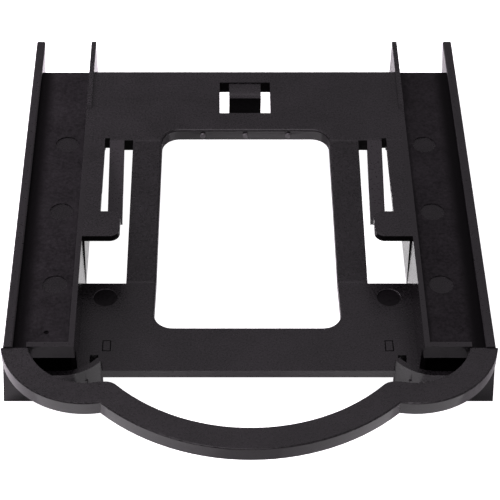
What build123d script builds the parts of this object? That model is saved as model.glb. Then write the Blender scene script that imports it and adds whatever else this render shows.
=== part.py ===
"""Bay adapter bracket: a one-piece moulded tray that carries a small drive in a larger bay.

Two hollow side rails stand on the table. A deck bridges them at the back, two sloping bars lead from
the deck down to a low front tray, and a looped handle bar joins the front ends of the rails.
All sizes are in millimetres. Lengths along the bracket are measured from the back end of the rails.
"""

import os
from math import sqrt

from build123d import *

# Side rails: an outer wall with draft, a thin inner wall and a plate across the top of both
top_width = 99.22
base_width = 101.6
rail_length = 98.08
rail_height = 16.93
outer_wall = 2.08
inner_span = 70.8
inner_wall = 1.14
wall_round = 0.5
fin_length = 24.06
fin_ramp = 0.9
channel_drop = 0.4
channel_lead = 0.3
channel_plate = 3.0
plate_setback = 0.55
lip_width = 1.29
lip_overlap = 0.5

# Deck across the back, flush with the inner walls and a little below the wall tops
deck_start = 10.7
deck_length = 24.21
deck_drop = 0.59
deck_plate = 2.97
bend_round = 2.97

# Low tray at the front, with the sloping bars that lead to it
tray_setback = 3.96
tray_length = 25.65
tray_height = 5.05
tray_plate = 2.08
tray_width = 61.4
notch_inset = 0.59
notch_width = 1.78
notch_length = 4.36
bar_width = 6.54

# Window between the bars
window_margin = 3.56
front_bar = 12.28
window_back_width = 37.63
window_front_width = 40.01
window_round = 3.96
window_edge = 0.59

# Side openings, with a guide tongue, a pad and a sprung finger on each side
opening_margin = 0.5
finger_gap = 1.98
finger_width = 3.29
finger_plate = 1.39
finger_length = 19.32
tongue_slot = 1.09
slot_lead = 0.69
pad_gap = 3.17
pad_length = 7.72
pad_plate = 1.53
pad_round = 2.18
step_width = 0.4
step_base = 0.08
step_setback = 1.14

# Wall across the front of each rail, curving back to the corner of the tray
front_wall = 1.19
front_wall_height = 8.12
web_run = 2.18

# Handle: a central arc between two smaller lobes
handle_width = 5.5
handle_plate = 3.27
handle_drop = 0.35
handle_edge = 0.3
arc_setback = 16.84
arc_radius = 40.11
lobe_setback = 3.17
lobe_radius = 15.0
lobe_bulge = 0.5
land_setback = 0.35
land_round = 2.97

# Latch in the deck: a tongue with a raised ridge and a leg below it
latch_setback = 3.86
latch_opening = 10.94
latch_width = 7.34
latch_gap = 2.19
latch_length = 6.78
latch_plate = 1.58
latch_drop = 0.25
ridge_length = 3.54
ridge_ramp = 2.4
ridge_height = 0.9
leg_drop = 3.96

# Pips on the back face of the window, and the shallow round and square marks of the mould
pip_radius = 0.59
pip_pitch = 9.7
pip_count = 3
mark_diameter = 5.15
mark_depth = 0.2
channel_mark_offset = 3.76
channel_mark_start = 25.2
channel_mark_pitch = 21.93
channel_mark_count = 3
tray_mark_pitch = 61.12
tray_mark_margin = 4.16
insert_width = 1.84
insert_length = 3.07
insert_line = 0.22
insert_inset = 0.1
insert_margin = 5.45
gate_diameter = 1.0
gate_offset = 4.66
gate_setback = 4.8

# Heights above the table
deck_top = rail_height - deck_drop
channel_top = deck_top - channel_drop
channel_bottom = channel_top - channel_plate
handle_top = rail_height - handle_drop
tray_bottom = tray_height - tray_plate

# Lengths from the back end
deck_end = deck_start + deck_length
tray_front = rail_length - tray_setback
plate_front = rail_length - plate_setback
ramp_end = tray_front - tray_length
opening_front = ramp_end + opening_margin
pad_front = opening_front - pad_gap
pad_back = pad_front - pad_length
step_front = pad_front - step_setback
window_back = deck_end - window_margin
window_front = tray_front - front_bar
arc_centre = rail_length - arc_setback
arc_outer = arc_radius + handle_width / 2
lobe_centre = rail_length - lobe_setback
lobe_outer = lobe_radius + handle_width / 2
lobe_inner = lobe_radius - handle_width / 2
land = lobe_centre + lobe_inner - land_setback
latch_back = deck_start + latch_setback
latch_end = latch_back + latch_length
overall_length = arc_centre + arc_outer

# Distances from the middle plane
inner_face = inner_span / 2
channel_edge = inner_face + inner_wall
notch_edge = tray_width / 2 + notch_inset
ledge_edge = notch_edge + notch_width
plate_edge = top_width / 2 - outer_wall / 2
lobe_middle = top_width / 2 + lobe_bulge - sqrt(lobe_outer**2 - lobe_setback**2)
arm_inner = lobe_middle + sqrt(lobe_inner**2 - lobe_setback**2)
taper = (window_front_width - window_back_width) / 2 / (window_front - window_back)
slope = (deck_top - tray_height) / (ramp_end - deck_end)


def along(distance: float) -> float:
    """Gives the Y place of a point at a distance from the back end of the rails."""
    return overall_length / 2 - distance


def section(distance: float) -> Plane:
    """Gives an upright plane across the bracket, from which solids grow towards the handle."""
    return Plane.XZ.offset(distance - overall_length / 2)


def window_half(distance: float) -> float:
    """Gives half the width of the window at a distance from the back end of the rails."""
    return window_back_width / 2 + taper * (distance - window_back)


def ramp_top(distance: float) -> float:
    """Gives the height of the sloping bars at a distance from the back end of the rails."""
    return deck_top - slope * (distance - deck_end)


finger_inner = window_half(deck_end) + bar_width + finger_gap
finger_outer = finger_inner + finger_width
finger_end = deck_end + finger_length
tongue_inner = finger_outer + tongue_slot

# Handle bar: arc and lobes, open inside and rounded where the inner arc meets the lobes
with BuildPart() as handle:
    with BuildSketch(Plane.XY.offset(handle_top)) as handle_outline:
        with Locations((0, along(arc_centre))):
            Circle(arc_outer)
        with Locations((lobe_middle, along(lobe_centre)), (-lobe_middle, along(lobe_centre))):
            Circle(lobe_outer)
        with Locations((0, along(rail_length))):
            Rectangle(
                2 * overall_length,
                overall_length,
                align=(Align.CENTER, Align.MIN),
                mode=Mode.SUBTRACT,
            )
        with Locations((lobe_middle, along(lobe_centre)), (-lobe_middle, along(lobe_centre))):
            Circle(lobe_inner, mode=Mode.SUBTRACT)
        with Locations((0, along(arc_centre))):
            Circle(arc_radius - handle_width / 2, mode=Mode.SUBTRACT)
        with Locations((0, along(land))):
            Rectangle(
                2 * lobe_middle,
                overall_length,
                align=(Align.CENTER, Align.MIN),
                mode=Mode.SUBTRACT,
            )
        land_ends = handle_outline.vertices().group_by(Axis.Y)[-2]
        fillet(land_ends, land_round)
    extrude(amount=-handle_plate)
    arm_ends = handle.faces().sort_by(Axis.Y)[-2:]
    fillet(handle.faces().sort_by(Axis.Z)[-1].edges() - arm_ends.edges(), handle_edge)

with BuildPart() as bracket:
    # Outer walls, wider at the base, with rounded tops
    with BuildSketch(section(0)) as wall_profile:
        with BuildLine():
            Polyline(
                (base_width / 2, 0),
                (top_width / 2, rail_height),
                (top_width / 2 - outer_wall, rail_height),
                (base_width / 2 - outer_wall, 0),
                close=True,
            )
        make_face()
        fillet(wall_profile.vertices().group_by(Axis.Y)[-1], wall_round)
        mirror(about=Plane.YZ)
    extrude(amount=rail_length)

    # Inner walls, which end at the front of the tray, with taller fins at the back
    with BuildSketch(section(0)):
        with Locations((inner_face, 0)):
            Rectangle(inner_wall, deck_top, align=(Align.MIN, Align.MIN))
        mirror(about=Plane.YZ)
    extrude(amount=tray_front)
    with BuildSketch(Plane.YZ.offset(inner_face)):
        with BuildLine():
            Polyline(
                (along(0), 0),
                (along(0), rail_height),
                (along(fin_length - fin_ramp), rail_height),
                (along(fin_length), deck_top),
                (along(fin_length), 0),
                close=True,
            )
        make_face()
    fin = extrude(amount=inner_wall)
    mirror(fin, about=Plane.YZ)

    # Plates that close the tops of the rails, each with a rim along the inside and a lip at the front
    with BuildSketch(section(deck_start - channel_lead)):
        with Locations((inner_face, channel_bottom)):
            Rectangle(plate_edge - inner_face, channel_plate, align=(Align.MIN, Align.MIN))
        mirror(about=Plane.YZ)
    extrude(amount=plate_front - deck_start + channel_lead)
    with BuildSketch(section(plate_front)):
        with Locations((arm_inner, channel_bottom)):
            Rectangle(plate_edge - arm_inner, channel_plate, align=(Align.MIN, Align.MIN))
        mirror(about=Plane.YZ)
    extrude(amount=plate_setback)
    with BuildSketch(section(tray_front)):
        with Locations((inner_face, channel_bottom)):
            Rectangle(inner_wall, deck_top - channel_bottom, align=(Align.MIN, Align.MIN))
        mirror(about=Plane.YZ)
    extrude(amount=plate_front - tray_front)
    with BuildSketch(section(plate_front - lip_width)):
        with Locations((inner_face, channel_bottom)):
            Rectangle(
                arm_inner + lip_overlap - inner_face,
                deck_top - channel_bottom,
                align=(Align.MIN, Align.MIN),
            )
        mirror(about=Plane.YZ)
    extrude(amount=lip_width)

    # Deck, slope and tray in one bent plate
    with BuildSketch(Plane.YZ) as plate_profile:
        with BuildLine():
            Polyline(
                (along(deck_start), deck_top),
                (along(deck_end), deck_top),
                (along(ramp_end), tray_height),
                (along(tray_front), tray_height),
                (along(tray_front), tray_bottom),
                (along(ramp_end), tray_bottom),
                (along(deck_end), deck_top - deck_plate),
                (along(deck_start), deck_top - deck_plate),
                close=True,
            )
        make_face()
        bends = plate_profile.vertices().filter_by_position(Axis.X, along(ramp_end), along(deck_end))
        fillet(bends, bend_round)
    extrude(amount=inner_face + inner_wall / 2, both=True)

    # Window with rounded corners and a rounded upper rim
    with BuildSketch(Plane.XY) as window_outline:
        with BuildLine():
            Polyline(
                (-window_back_width / 2, along(window_back)),
                (window_back_width / 2, along(window_back)),
                (window_front_width / 2, along(window_front)),
                (-window_front_width / 2, along(window_front)),
                close=True,
            )
        make_face()
        fillet(window_outline.vertices(), window_round)
    extrude(amount=rail_height, mode=Mode.SUBTRACT)
    upper_edges = bracket.faces().filter_by(lambda face: face.normal_at().Z > slope).edges()
    fillet([edge for edge in bracket.edges(Select.LAST) if edge in upper_edges], window_edge)

    # Side openings, which leave the sloping bars beside the window, with a slot behind each
    with BuildSketch(Plane.XY):
        with BuildLine():
            Polyline(
                (window_half(deck_end) + bar_width, along(deck_end)),
                (inner_face, along(deck_end)),
                (inner_face, along(opening_front)),
                (window_half(opening_front) + bar_width, along(opening_front)),
                close=True,
            )
        make_face()
        with Locations((finger_outer, along(deck_end))):
            Rectangle(tongue_slot, slot_lead, align=(Align.MIN, Align.MIN))
        mirror(about=Plane.YZ)
    extrude(amount=rail_height, mode=Mode.SUBTRACT)

    # Notches near the front corners of the tray, beside the ledges that lead to the webs
    with BuildSketch(Plane.XY):
        with Locations((notch_edge, along(tray_front))):
            Rectangle(notch_width, notch_length, align=(Align.MIN, Align.MIN))
        mirror(about=Plane.YZ)
    extrude(amount=tray_height, mode=Mode.SUBTRACT)
    with BuildSketch(Plane.XY.offset(tray_bottom)):
        with Locations((ledge_edge, along(rail_length - front_wall))):
            Rectangle(inner_face - ledge_edge, tray_setback, align=(Align.MIN, Align.MIN))
        mirror(about=Plane.YZ)
    extrude(amount=tray_plate)

    # Guide tongues beside the rails, each with a pad at its front end and a thicker wall below
    with BuildSketch(Plane.XY.offset(deck_top)) as guide_outline:
        with BuildLine():
            Polyline(
                (inner_face, along(deck_end)),
                (tongue_inner, along(deck_end)),
                (tongue_inner, along(pad_back)),
                (finger_inner, along(pad_back)),
                (finger_inner, along(pad_front)),
                (inner_face, along(pad_front)),
                close=True,
            )
        make_face()
        fillet(guide_outline.vertices().group_by(Axis.X)[0], pad_round)
        mirror(about=Plane.YZ)
    extrude(amount=-pad_plate)
    with BuildSketch(section(deck_end)):
        with BuildLine():
            Polyline(
                (inner_face, 0),
                (inner_face - step_base, 0),
                (inner_face - step_width, deck_top - pad_plate),
                (inner_face, deck_top - pad_plate),
                close=True,
            )
        make_face()
        mirror(about=Plane.YZ)
    extrude(amount=step_front - deck_end)

    # Sprung fingers, which follow the slope and end under the pads
    with BuildSketch(Plane.YZ.offset(finger_inner)):
        with BuildLine():
            Polyline(
                (along(deck_end), deck_top),
                (along(finger_end), ramp_top(finger_end)),
                (along(finger_end), ramp_top(finger_end) - finger_plate),
                (along(deck_end), deck_top - finger_plate),
                close=True,
            )
        make_face()
    finger = extrude(amount=finger_width)
    mirror(finger, about=Plane.YZ)

    # Front wall of each rail, with the web that curves back to the tray
    with BuildSketch(Plane.XY):
        with BuildLine():
            run = Line(
                (base_width / 2 - outer_wall, along(rail_length - front_wall / 2)),
                (channel_edge + web_run, along(rail_length - front_wall / 2)),
            )
            TangentArc(
                run @ 1,
                (tray_width / 2, along(tray_front - front_wall / 2)),
                tangent=run % 1,
            )
        trace(line_width=front_wall)
        mirror(about=Plane.YZ)
    extrude(amount=front_wall_height)

    # Handle bar across the front ends of the rails
    add(handle.part)

    # Latch: its opening, the tongue with a ridge, and the leg below the ridge
    with BuildSketch(Plane.XY):
        with Locations((0, along(latch_back))):
            Rectangle(latch_width + 2 * latch_gap, latch_opening, align=(Align.CENTER, Align.MAX))
    extrude(amount=rail_height, mode=Mode.SUBTRACT)
    with BuildSketch(Plane.YZ):
        with BuildLine():
            Polyline(
                (along(latch_back), deck_top - latch_drop),
                (along(latch_end - ridge_length), deck_top - latch_drop),
                (along(latch_end - ridge_length + ridge_ramp), deck_top + ridge_height),
                (along(latch_end), deck_top + ridge_height),
                (along(latch_end), deck_top - leg_drop),
                (along(latch_end - latch_plate), deck_top - leg_drop),
                (along(latch_end - latch_plate), deck_top - latch_plate),
                (along(latch_back), deck_top - latch_plate),
                close=True,
            )
        make_face()
    extrude(amount=latch_width / 2, both=True)

    # Pips on the back face of the window
    with BuildSketch(section(window_back)):
        with Locations((0, deck_top - deck_plate / 2)):
            with GridLocations(pip_pitch, pip_pitch, pip_count, 1):
                Circle(pip_radius)
    extrude(amount=pip_radius)

    # Shallow marks of the mould in the rail plates and on the tray
    with BuildSketch(Plane.XY.offset(channel_top)):
        for index in range(channel_mark_count):
            with Locations(
                (
                    channel_edge + channel_mark_offset,
                    along(deck_start + channel_mark_start + index * channel_mark_pitch),
                )
            ):
                Circle(mark_diameter / 2)
        mirror(about=Plane.YZ)
        with Locations((-channel_edge - gate_offset, along(rail_length - gate_setback))):
            Circle(gate_diameter / 2)
    extrude(amount=-mark_depth, mode=Mode.SUBTRACT)
    with BuildSketch(Plane.XY.offset(tray_height)):
        with Locations((tray_mark_pitch / 2, along(opening_front + tray_mark_margin))):
            Circle(mark_diameter / 2)
        with Locations((tray_width / 2 - insert_inset, along(tray_front - insert_margin))):
            Rectangle(insert_width, insert_length, align=(Align.MAX, Align.MIN))
            with Locations((-insert_line, insert_line)):
                Rectangle(
                    insert_width - 2 * insert_line,
                    insert_length - 2 * insert_line,
                    align=(Align.MAX, Align.MIN),
                    mode=Mode.SUBTRACT,
                )
        mirror(about=Plane.YZ)
    extrude(amount=-mark_depth, mode=Mode.SUBTRACT)

bracket.part.label = "bracket"
os.makedirs("parts", exist_ok=True)
export_step(bracket.part, "parts/bracket.step")
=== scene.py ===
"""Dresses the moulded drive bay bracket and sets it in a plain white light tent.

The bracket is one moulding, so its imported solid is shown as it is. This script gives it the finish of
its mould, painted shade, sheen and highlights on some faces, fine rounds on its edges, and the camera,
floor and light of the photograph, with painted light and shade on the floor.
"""

import logging
import math
from dataclasses import dataclass, field
from enum import Enum

import bmesh
import bpy
from mathutils import Euler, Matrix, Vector

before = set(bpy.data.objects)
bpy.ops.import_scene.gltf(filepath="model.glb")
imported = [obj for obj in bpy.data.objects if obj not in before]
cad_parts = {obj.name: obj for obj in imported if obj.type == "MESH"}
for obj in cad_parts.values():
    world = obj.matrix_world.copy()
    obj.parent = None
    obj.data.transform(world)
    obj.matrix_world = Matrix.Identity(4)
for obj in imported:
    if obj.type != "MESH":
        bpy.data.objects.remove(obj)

LOG = logging.getLogger("bracket_scene")
MM = 0.001

# Cosine of 60 degrees, the most by which a face may turn away from the way that it is said to look
FACING_SHARE = 0.5

# Refractive index of ABS
ABS_IOR = 1.53

# The span that holds nearly all values of a noise texture
NOISE_LOW, NOISE_HIGH = 0.3, 0.7

# Octaves of the two noise textures, and how fast they weaken
CLOUD_DETAIL, CLOUD_FALLOFF = 3.0, 0.55
GRAIN_DETAIL, GRAIN_FALLOFF = 2.0, 0.6

# Places of the colour sockets of a Mix node, whose names it also gives to its other sockets
MIX_FIRST, MIX_SECOND, MIX_RESULT = 6, 7, 2


def linear(code: str) -> tuple[float, float, float, float]:
    """Turns an sRGB hex colour into the linear colour that the shaders use.

    Args:
        code: Six hex digits, such as "1c1c1e".

    Returns:
        Linear red, green, blue and an alpha of 1.
    """
    shares = [int(code[place:place + 2], 16) / 255 for place in (0, 2, 4)]
    red, green, blue = (s / 12.92 if s <= 0.04045 else ((s + 0.055) / 1.055) ** 2.4 for s in shares)
    return red, green, blue, 1.0


def add_node(
    tree: bpy.types.NodeTree,
    kind: str,
    settings: dict[str, object] | None = None,
    values: dict[str | int, object] | None = None,
    links: dict[str | int, bpy.types.NodeSocket] | None = None,
) -> bpy.types.Node:
    """Adds one shader node with its settings, socket values and incoming links.

    Args:
        tree: The node tree of a material or of the world.
        kind: The node's type name.
        settings: Attributes of the node itself.
        values: Values of its input sockets, by the sockets' names or places.
        links: Output sockets to link to its inputs, by the inputs' names or places.

    Returns:
        The new node.
    """
    node = tree.nodes.new(kind)
    for name, value in (settings or {}).items():
        setattr(node, name, value)
    for name, value in (values or {}).items():
        node.inputs[name].default_value = value
    for name, socket in (links or {}).items():
        tree.links.new(socket, node.inputs[name])
    return node


class Skin(Enum):
    """The bracket's skins by material slot: mould finishes, and painted shade, sheen and highlights."""

    SATIN = 0
    CHANNEL = 1
    SIDE = 2
    # Lip fronts and tray discs: duller, with painted shade
    MATTE = 3
    # Pockets, undersides and recesses: painted shade
    DULL = 4
    MARK = 5
    CREST = 6
    # Painted highlights round the tray's discs and on the window's pips
    RUBBED = 7
    # Tops of the sprung fingers: painted sheen
    FINGER = 8


class Facing(Enum):
    """The ways in which a face of the bracket can look."""

    UP = (0.0, 0.0, 1.0)
    DOWN = (0.0, 0.0, -1.0)
    FRONT = (0.0, -1.0, 0.0)


@dataclass(frozen=True)
class Zone:
    """A box, alike on both sides of the bracket, whose faces of one facing share a skin."""

    skin: Skin
    facing: Facing | None
    across_mm: tuple[float, float]
    along_mm: tuple[float, float]
    level_mm: tuple[float, float]

    def holds(self, face: bpy.types.MeshPolygon) -> bool:
        """Says whether a face lies in the zone.

        Args:
            face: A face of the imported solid.

        Returns:
            True if its centre is in the box and it looks the zone's way, or any way if that is None.
        """
        x, y, z = face.center / MM
        spans = ((abs(x), self.across_mm), (y, self.along_mm), (z, self.level_mm))
        inside = all(low < value < high for value, (low, high) in spans)
        if not inside or self.facing is None:
            return inside
        return face.normal.dot(Vector(self.facing.value)) > FACING_SHARE


@dataclass(frozen=True)
class MouldedPlastic:
    """Black injection-moulded ABS, whose steel mould was spark-eroded to a fine matte grain.

    The grain breaks the surface's reflections, so flat faces look like dark slate, and faces that
    mirror the bright floor at a low angle turn grey. The real grain is about 0.05 mm wide, too fine to
    show at this size, so grain_mm draws it about ten times coarser.
    """

    name: str
    colour: str
    bloom: str
    roughness: float
    roughness_spread: float
    grain_mm: float
    grain_depth_mm: float
    cloud_mm: float
    speckle: float
    contrast: float
    specular: float
    # Distances from the middle plane over which painted shade darkens a plate towards a wall
    wall_shade_mm: tuple[float, float] | None = None

    def build(self) -> bpy.types.Material:
        """Makes the material.

        Returns:
            The finished material, with its pattern on Object coordinates.
        """
        material = bpy.data.materials.new(self.name)
        material.use_nodes = True
        tree = material.node_tree
        tree.nodes.clear()
        place = add_node(tree, "ShaderNodeTexCoord").outputs["Object"]
        cloud = add_node(
            tree,
            "ShaderNodeTexNoise",
            values={
                "Scale": 1 / (self.cloud_mm * MM),
                "Detail": CLOUD_DETAIL,
                "Roughness": CLOUD_FALLOFF,
            },
            links={"Vector": place},
        )
        grain = add_node(
            tree,
            "ShaderNodeTexNoise",
            values={
                "Scale": 1 / (self.grain_mm * MM),
                "Detail": GRAIN_DETAIL,
                "Roughness": GRAIN_FALLOFF,
            },
            links={"Vector": place},
        )
        speckle = add_node(
            tree,
            "ShaderNodeMath",
            settings={"operation": "MULTIPLY_ADD"},
            links={0: grain.outputs["Fac"], 2: cloud.outputs["Fac"]},
            values={1: self.speckle},
        )
        shade = add_node(
            tree,
            "ShaderNodeMapRange",
            values={
                "From Min": NOISE_LOW * (1 + self.speckle),
                "From Max": NOISE_HIGH * (1 + self.speckle),
                "To Min": 0.5 - self.contrast,
                "To Max": 0.5 + self.contrast,
            },
            links={"Value": speckle.outputs["Value"]},
        )
        share = shade.outputs["Result"]
        # Painted shade beside the outer walls
        if self.wall_shade_mm:
            share = self.paint_wall_shade(tree, place, share)
        tint = add_node(
            tree,
            "ShaderNodeMix",
            settings={"data_type": "RGBA"},
            values={MIX_FIRST: linear(self.colour), MIX_SECOND: linear(self.bloom)},
            links={"Factor": share},
        )
        rough = add_node(
            tree,
            "ShaderNodeMapRange",
            values={
                "From Min": NOISE_LOW,
                "From Max": NOISE_HIGH,
                "To Min": self.roughness - self.roughness_spread,
                "To Max": self.roughness + self.roughness_spread,
            },
            links={"Value": grain.outputs["Fac"]},
        )
        relief = add_node(
            tree,
            "ShaderNodeBump",
            values={"Strength": 1.0, "Distance": self.grain_depth_mm * MM},
            links={"Height": grain.outputs["Fac"]},
        )
        surface = add_node(
            tree,
            "ShaderNodeBsdfPrincipled",
            values={"IOR": ABS_IOR, "Specular IOR Level": self.specular},
            links={
                "Base Color": tint.outputs[MIX_RESULT],
                "Roughness": rough.outputs["Result"],
                "Normal": relief.outputs["Normal"],
            },
        )
        add_node(tree, "ShaderNodeOutputMaterial", links={"Surface": surface.outputs["BSDF"]})
        return material

    def paint_wall_shade(
        self,
        tree: bpy.types.NodeTree,
        place: bpy.types.NodeSocket,
        share: bpy.types.NodeSocket,
    ) -> bpy.types.NodeSocket:
        """Paints shade beside a wall: the bloom fades out there, a painted dark strip for the wall's
        shadow.

        Args:
            tree: The material's node tree.
            place: The Object coordinates.
            share: The share of the bloom colour away from the wall.

        Returns:
            The share with the painted wall shade, over the distances from the middle plane in
            wall_shade_mm.
        """
        parts = add_node(tree, "ShaderNodeSeparateXYZ", links={"Vector": place})
        across = add_node(
            tree,
            "ShaderNodeMath",
            settings={"operation": "ABSOLUTE"},
            links={0: parts.outputs["X"]},
        )
        start, end = (distance * MM for distance in self.wall_shade_mm)
        kept = add_node(
            tree,
            "ShaderNodeMapRange",
            settings={"interpolation_type": "SMOOTHSTEP"},
            values={"From Min": start, "From Max": end, "To Min": 1.0, "To Max": 0.0},
            links={"Value": across.outputs["Value"]},
        )
        shaded_share = add_node(
            tree,
            "ShaderNodeMath",
            settings={"operation": "MULTIPLY"},
            links={0: share, 1: kept.outputs["Result"]},
        )
        return shaded_share.outputs["Value"]


@dataclass
class Bracket:
    """The bracket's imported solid, with its finishes and the small rounds of its edges."""

    node: str = "bracket"
    join_mm: float = 0.002
    edge_round_mm: float = 0.18
    round_segments: int = 2
    sharp_degrees: float = 40.0
    flat_weight: int = 80
    zones: tuple[Zone, ...] = (
        # Rail plates, with their ejector discs and their gate dimple, whose floor gets painted shade
        Zone(Skin.CHANNEL, Facing.UP, (36.6, 48.5), (-36.5, 62.5), (15.84, 16.1)),
        Zone(Skin.DULL, Facing.UP, (40.6, 41.8), (-31.9, -30.5), (15.6, 15.84)),
        Zone(Skin.MARK, Facing.UP, (36.6, 48.5), (-36.5, 62.5), (15.6, 15.84)),
        # Front of the latch, and the back ends of the slots beside the fingers: painted shade
        Zone(Skin.DULL, Facing.FRONT, (0.0, 5.9), (36.0, 48.0), (0.0, 17.5)),
        Zone(Skin.DULL, Facing.FRONT, (25.3, 32.0), (26.8, 28.0), (9.0, 17.5)),
        # Fronts and undersides of the pads: painted shade
        Zone(Skin.DULL, Facing.FRONT, (27.0, 35.5), (-4.2, -1.0), (14.0, 16.6)),
        Zone(Skin.DULL, Facing.DOWN, (27.0, 35.5), (-4.2, 28.0), (14.0, 15.5)),
        # Lines of the insert frames on the tray: painted shade in the recessed lines
        Zone(Skin.DULL, Facing.UP, (28.6, 30.8), (-26.8, -23.4), (4.8, 4.95)),
        # Fronts of the lips: painted shade, darker and duller than the sides
        Zone(Skin.MATTE, Facing.FRONT, (35.0, 48.0), (-36.2, -35.0), (12.0, 16.6)),
        # Tops of the outer walls, and of the rims and lips round the rail plates
        Zone(Skin.CREST, Facing.UP, (47.2, 50.9), (-37.0, 62.5), (16.2, 17.5)),
        Zone(Skin.CREST, Facing.UP, (35.2, 48.0), (-36.5, 26.0), (16.2, 16.5)),
        # Tops of the sprung fingers: painted sheen
        Zone(Skin.FINGER, Facing.UP, (25.8, 34.0), (-8.0, 27.5), (6.0, 15.6)),
        # Painted highlights round the tray's discs and on the window's pips; painted shade on the discs
        Zone(Skin.RUBBED, None, (27.8, 33.3), (-14.6, -8.4), (4.88, 5.02)),
        Zone(Skin.RUBBED, None, (0.0, 10.6), (27.0, 30.6), (14.2, 15.5)),
        Zone(Skin.MATTE, Facing.UP, (27.8, 33.3), (-14.6, -8.4), (4.8, 4.88)),
    )
    # Level faces: an even slate grey with a fine speckle, as the grain scatters the tent's light
    satin: MouldedPlastic = MouldedPlastic(
        name="abs_satin_grain",
        colour="0a090a",
        bloom="1e1c1e",
        roughness=0.3,
        roughness_spread=0.07,
        grain_mm=0.42,
        grain_depth_mm=0.02,
        cloud_mm=9.0,
        speckle=2.0,
        contrast=0.7,
        specular=0.5,
    )
    # Rail plates: a flat, deep black that hardly shines, with painted shade beside the outer walls
    channel: MouldedPlastic = MouldedPlastic(
        name="abs_channel_grain",
        colour="070607",
        bloom="2b292b",
        roughness=0.5,
        roughness_spread=0.06,
        grain_mm=0.6,
        grain_depth_mm=0.03,
        cloud_mm=7.0,
        speckle=2.0,
        contrast=0.35,
        specular=0.06,
        # Painted shade: the bloom fades out over these distances beside the outer walls
        wall_shade_mm=(43.6, 46.5),
    )
    # Upright faces, drawn smooth by the opening mould: they mirror the floor as a soft grey sheen
    side: MouldedPlastic = MouldedPlastic(
        name="abs_drawn_side",
        colour="0b0a0b",
        bloom="141214",
        roughness=0.17,
        roughness_spread=0.05,
        grain_mm=0.5,
        grain_depth_mm=0.006,
        cloud_mm=6.0,
        speckle=1.0,
        contrast=0.5,
        specular=0.5,
    )
    # Lip fronts and tray discs: painted shade, a dim grey, darker and duller than the faces round them
    matte_shade: MouldedPlastic = MouldedPlastic(
        name="abs_matte_painted_shade",
        colour="090809",
        bloom="121012",
        roughness=0.32,
        roughness_spread=0.05,
        grain_mm=0.5,
        grain_depth_mm=0.01,
        cloud_mm=6.0,
        speckle=1.0,
        contrast=0.5,
        specular=0.18,
    )
    # Pockets, undersides and recesses: painted shade, near black, with hardly a highlight
    pocket_shade: MouldedPlastic = MouldedPlastic(
        name="abs_painted_pocket_shade",
        colour="050405",
        bloom="0a090a",
        roughness=0.6,
        roughness_spread=0.05,
        grain_mm=0.6,
        grain_depth_mm=0.02,
        cloud_mm=6.0,
        speckle=1.0,
        contrast=0.5,
        specular=0.05,
    )
    # Ejector discs: smoother than the plates round them, so they catch a little more of the tent
    mark: MouldedPlastic = MouldedPlastic(
        name="abs_ejector_mark",
        colour="0a090a",
        bloom="181618",
        roughness=0.28,
        roughness_spread=0.03,
        grain_mm=0.5,
        grain_depth_mm=0.005,
        cloud_mm=3.0,
        speckle=1.0,
        contrast=0.4,
        specular=0.38,
    )
    # Narrow tops of walls, rims and lips: smooth, with an even sheen and hardly a speckle
    crest: MouldedPlastic = MouldedPlastic(
        name="abs_smooth_crest",
        colour="0a090a",
        bloom="1e1c1e",
        roughness=0.3,
        roughness_spread=0.03,
        grain_mm=0.42,
        grain_depth_mm=0.006,
        cloud_mm=9.0,
        speckle=2.0,
        contrast=0.4,
        specular=0.5,
    )
    # Steps round the tray's discs, and the window's pips: painted highlights, thin light lines and dots
    painted_highlight: MouldedPlastic = MouldedPlastic(
        name="abs_painted_highlight",
        colour="4a484a",
        bloom="5e5c5e",
        roughness=0.4,
        roughness_spread=0.03,
        grain_mm=0.42,
        grain_depth_mm=0.004,
        cloud_mm=3.0,
        speckle=1.0,
        contrast=0.4,
        specular=0.5,
    )
    # Tops of the sprung fingers: painted sheen, a shade lighter than the bars
    finger_sheen: MouldedPlastic = MouldedPlastic(
        name="abs_painted_finger_sheen",
        colour="262426",
        bloom="2c2a2c",
        roughness=0.3,
        roughness_spread=0.05,
        grain_mm=0.42,
        grain_depth_mm=0.012,
        cloud_mm=9.0,
        speckle=2.0,
        contrast=0.5,
        specular=0.5,
    )

    def dress(self) -> bpy.types.Object:
        """Gives the solid its finishes and edge rounds.

        Returns:
            The bracket's object.
        """
        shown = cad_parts[self.node]
        shown.data.materials.clear()
        finishes = {
            Skin.SATIN: self.satin,
            Skin.CHANNEL: self.channel,
            Skin.SIDE: self.side,
            Skin.MATTE: self.matte_shade,
            Skin.DULL: self.pocket_shade,
            Skin.MARK: self.mark,
            Skin.CREST: self.crest,
            Skin.RUBBED: self.painted_highlight,
            Skin.FINGER: self.finger_sheen,
        }
        for skin in Skin:
            shown.data.materials.append(finishes[skin].build())
        for face in shown.data.polygons:
            face.material_index = self.skin_of(face).value
            face.use_smooth = True
        self.round_edges(shown)
        return shown

    def skin_of(self, face: bpy.types.MeshPolygon) -> Skin:
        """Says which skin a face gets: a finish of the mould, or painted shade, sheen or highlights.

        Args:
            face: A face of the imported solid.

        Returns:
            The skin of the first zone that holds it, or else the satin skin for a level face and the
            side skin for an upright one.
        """
        for zone in self.zones:
            if zone.holds(face):
                return zone.skin
        return Skin.SATIN if abs(face.normal.z) > FACING_SHARE else Skin.SIDE

    def round_edges(self, shown: bpy.types.Object) -> None:
        """Joins the solid's loose triangles and rounds its sharp edges a little.

        Args:
            shown: The bracket's object.
        """
        weld = shown.modifiers.new("joined_faces", "WELD")
        weld.merge_threshold = self.join_mm * MM
        edge = shown.modifiers.new("edge_rounds", "BEVEL")
        edge.limit_method = "ANGLE"
        edge.angle_limit = math.radians(self.sharp_degrees)
        edge.width = self.edge_round_mm * MM
        edge.segments = self.round_segments
        level = shown.modifiers.new("even_shading", "WEIGHTED_NORMAL")
        level.weight = self.flat_weight


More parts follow.
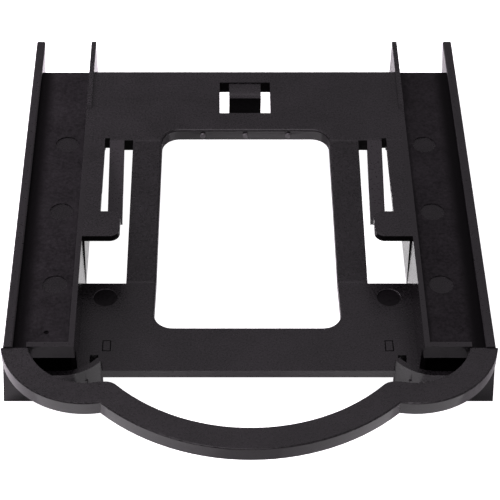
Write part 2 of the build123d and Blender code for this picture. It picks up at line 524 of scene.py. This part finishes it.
@dataclass
class Panel:
    """One soft light panel of the tent, aimed at the bracket.

    A panel that isn't mirrored lights the plastic without being seen in it.
    """

    name: str
    place_mm: tuple[float, float, float]
    size_mm: tuple[float, float]
    watts: float
    mirrored: bool = True

    def build(self, aim: Vector, tint: str) -> bpy.types.Object:
        """Makes the panel.

        Args:
            aim: The point that the panel faces, in metres.
            tint: The colour of its light.

        Returns:
            The light's object.
        """
        light = bpy.data.lights.new(self.name, "AREA")
        light.color = linear(tint)[:3]
        light.shape = "RECTANGLE"
        light.size, light.size_y = (side * MM for side in self.size_mm)
        light.energy = self.watts
        lamp = bpy.data.objects.new(self.name, light)
        lamp.location = Vector(self.place_mm) * MM
        lamp.rotation_euler = (aim - lamp.location).to_track_quat("-Z", "Y").to_euler()
        lamp.visible_glossy = self.mirrored
        bpy.context.scene.collection.objects.link(lamp)
        return lamp


@dataclass(frozen=True)
class Ground:
    """Plain matte paper with its own glow; the floor's patches use it for painted light and shade."""

    name: str
    colour: str
    glow: float
    roughness: float = 0.9
    specular: float = 0.1

    def build(self) -> bpy.types.Material:
        """Makes the material.

        Returns:
            The finished material.
        """
        material = bpy.data.materials.new(self.name)
        material.use_nodes = True
        surface = material.node_tree.nodes["Principled BSDF"]
        surface.inputs["Base Color"].default_value = linear(self.colour)
        surface.inputs["Roughness"].default_value = self.roughness
        surface.inputs["Specular IOR Level"].default_value = self.specular
        surface.inputs["Emission Color"].default_value = linear(self.colour)
        surface.inputs["Emission Strength"].default_value = self.glow
        return material


@dataclass(frozen=True)
class Patch:
    """A rectangle of the floor, alike on both sides, with its own ground."""

    ground: Ground
    across_mm: tuple[float, float]
    along_mm: tuple[float, float]

    def holds(self, x: float, y: float) -> bool:
        """Says whether a point of the floor, in millimetres, lies in the patch."""
        (near, far), (front, back) = self.across_mm, self.along_mm
        return near < abs(x) < far and front < y < back


def graded(
    name: str,
    edges_mm: tuple[float, ...],
    along_mm: tuple[float, float],
    glow: float,
) -> tuple[Patch, ...]:
    """Makes patches of painted light side by side, brighter from one to the next, so no mirrored edge
    shows.

    Args:
        name: The start of their grounds' names.
        edges_mm: Distances from the middle plane at which they start and end.
        along_mm: Where they start and end along the bracket.
        glow: The glow of the last one.

    Returns:
        The patches, from the middle outwards.
    """
    spans = list(zip(edges_mm, edges_mm[1:]))
    return tuple(
        Patch(Ground(f"{name}_{step}", "fafafa", glow * step / len(spans)), span, along_mm)
        for step, span in enumerate(spans, start=1)
    )


@dataclass
class Studio:
    """The white floor, the tent's soft light and its even glow.

    The photograph's ground is pure white, also inside the openings, while the plastic mirrors paper
    that lies in the bracket's own shade. So the camera sees a bright sheet, and reflections and
    bounced light see the paper just below it. The sheet carries painted shade: it is black under the
    rails and the notches, whose hollows lie in shade. The paper carries painted light where upright
    faces mirror it: it glows in the window, the side openings and the loop, and before the handle, with
    a grey patch of painted shadow before the feet. The low panels at the sides aren't mirrored, so
    that no level face glares in a view from the side.
    """

    aim_mm: tuple[float, float, float] = (0.0, 0.0, 0.0)
    floor_mm: float = 6000.0
    paper_drop_mm: float = 0.1
    paper: Ground = Ground("paper", "ececec", 0.0)
    paper_patches: tuple[Patch, ...] = (
        # Painted light: glowing paper where upright faces mirror the floor
        Patch(Ground("opening_painted_light", "fafafa", 0.62), (25.6, 35.4), (-6.9, 27.1)),
        Patch(Ground("window_painted_light", "fafafa", 0.3), (0.0, 17.0), (4.0, 24.0)),
        *graded("loop_painted_light", (0.0, 8.0, 13.0, 18.0, 23.0, 33.0), (-44.0, -32.2), 0.45),
        *graded("lobe_painted_light", (10.0, 14.0, 18.0, 22.0, 26.0, 30.0, 34.0, 62.0), (-78.0, -52.0), 0.6),
        # Painted shadow: grey paper before the feet, for the lobes' shadow on the floor
        Patch(Ground("foot_painted_shadow", "d0d0d0", 0.06), (46.5, 53.0), (-50.0, -36.0)),
    )
    sheet: Ground = Ground("sheet", "ffffff", 1.0)
    sheet_patches: tuple[Patch, ...] = (
        # Painted shade: black sheet under the rails and the notches, whose hollows lie in shade
        Patch(Ground("rail_shade", "020202", 0.0), (36.0, 48.6), (-34.8, 47.0)),
        Patch(Ground("notch_shade", "020202", 0.0), (30.5, 36.0), (-29.0, -18.0)),
    )
    glow_tint: str = "fff5ff"
    glow: float = 0.295
    panels: list[Panel] = field(
        default_factory=lambda: [
            Panel("left_panel", (-200, 70, 120), (160, 180), 0.85, mirrored=False),
            Panel("right_panel", (620, -40, 220), (300, 200), 0.3, mirrored=False),
            Panel("key_panel", (-100, -560, 1060), (800, 800), 3.6),
            Panel("back_panel", (0, 560, 980), (900, 260), 0.45),
        ]
    )

    def build(self) -> None:
        """Makes the floor, the panels and the glow."""
        self.lay(-self.paper_drop_mm, self.paper, self.paper_patches)
        sheet = self.lay(0.0, self.sheet, self.sheet_patches)
        sheet.visible_diffuse = False
        sheet.visible_glossy = False
        sheet.visible_shadow = False
        for panel in self.panels:
            panel.build(Vector(self.aim_mm) * MM, self.glow_tint)
            LOG.info("light %s", panel.name)
        world = bpy.data.worlds.new("tent")
        world.use_nodes = True
        world.node_tree.nodes.clear()
        glow = add_node(
            world.node_tree,
            "ShaderNodeBackground",
            values={"Color": linear(self.glow_tint), "Strength": self.glow},
        )
        add_node(
            world.node_tree,
            "ShaderNodeOutputWorld",
            links={"Surface": glow.outputs["Background"]},
        )
        bpy.context.scene.world = world
        bpy.context.scene.view_settings.view_transform = "Standard"

    def lay(self, level_mm: float, ground: Ground, patches: tuple[Patch, ...]) -> bpy.types.Object:
        """Lays one sheet of the floor.

        Args:
            level_mm: Its height.
            ground: Its own material, which also names it.
            patches: The rectangles that differ from the rest.

        Returns:
            The sheet's object.
        """
        shape = bmesh.new()
        bmesh.ops.create_grid(shape, x_segments=1, y_segments=1, size=self.floor_mm / 2 * MM)
        bmesh.ops.translate(shape, verts=shape.verts, vec=(0, 0, level_mm * MM))
        for patch in patches:
            cuts = [((x, 0, level_mm), (1, 0, 0)) for end in patch.across_mm for x in (end, -end)]
            cuts += [((0, y, level_mm), (0, 1, 0)) for y in patch.along_mm]
            for spot, across in cuts:
                everything = shape.verts[:] + shape.edges[:] + shape.faces[:]
                place = Vector(spot) * MM
                bmesh.ops.bisect_plane(shape, geom=everything, plane_co=place, plane_no=across)
        for face in shape.faces:
            x, y, _ = face.calc_center_median() / MM
            for slot, patch in enumerate(patches, start=1):
                if patch.holds(x, y):
                    face.material_index = slot
        mesh = bpy.data.meshes.new(ground.name)
        shape.to_mesh(mesh)
        shape.free()
        for laid_ground in (ground, *(patch.ground for patch in patches)):
            mesh.materials.append(laid_ground.build())
        laid = bpy.data.objects.new(ground.name, mesh)
        bpy.context.scene.collection.objects.link(laid)
        return laid


@dataclass
class Viewpoint:
    """The photograph's camera: in front, looking down at 45 degrees through a long lens."""

    place_mm: tuple[float, float, float] = (-6.54, -278.15, 286.6)
    pitch_degrees: float = 45.0
    focal_pixels: float = 1800.0
    centre_pixel: tuple[float, float] = (216.8, 249.8)
    image_pixels: float = 500.0
    sensor_mm: float = 36.0

    def build(self) -> bpy.types.Object:
        """Makes the camera and hands it to the scene.

        Returns:
            The camera's object.
        """
        lens = bpy.data.cameras.new("viewpoint")
        lens.sensor_width = self.sensor_mm
        lens.lens = self.focal_pixels / self.image_pixels * self.sensor_mm
        lens.shift_x = 0.5 - self.centre_pixel[0] / self.image_pixels
        lens.shift_y = self.centre_pixel[1] / self.image_pixels - 0.5
        camera = bpy.data.objects.new("viewpoint", lens)
        camera.location = Vector(self.place_mm) * MM
        camera.rotation_euler = Euler((math.radians(90 - self.pitch_degrees), 0, 0))
        bpy.context.scene.collection.objects.link(camera)
        bpy.context.scene.camera = camera
        return camera


def main() -> None:
    """Dresses the bracket and builds the scene round it."""
    logging.basicConfig(level=logging.INFO)
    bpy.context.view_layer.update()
    piece = Bracket().dress()
    LOG.info("dressed %s", piece.name)
    Viewpoint().build()
    Studio().build()


if __name__ == "__main__":
    main()
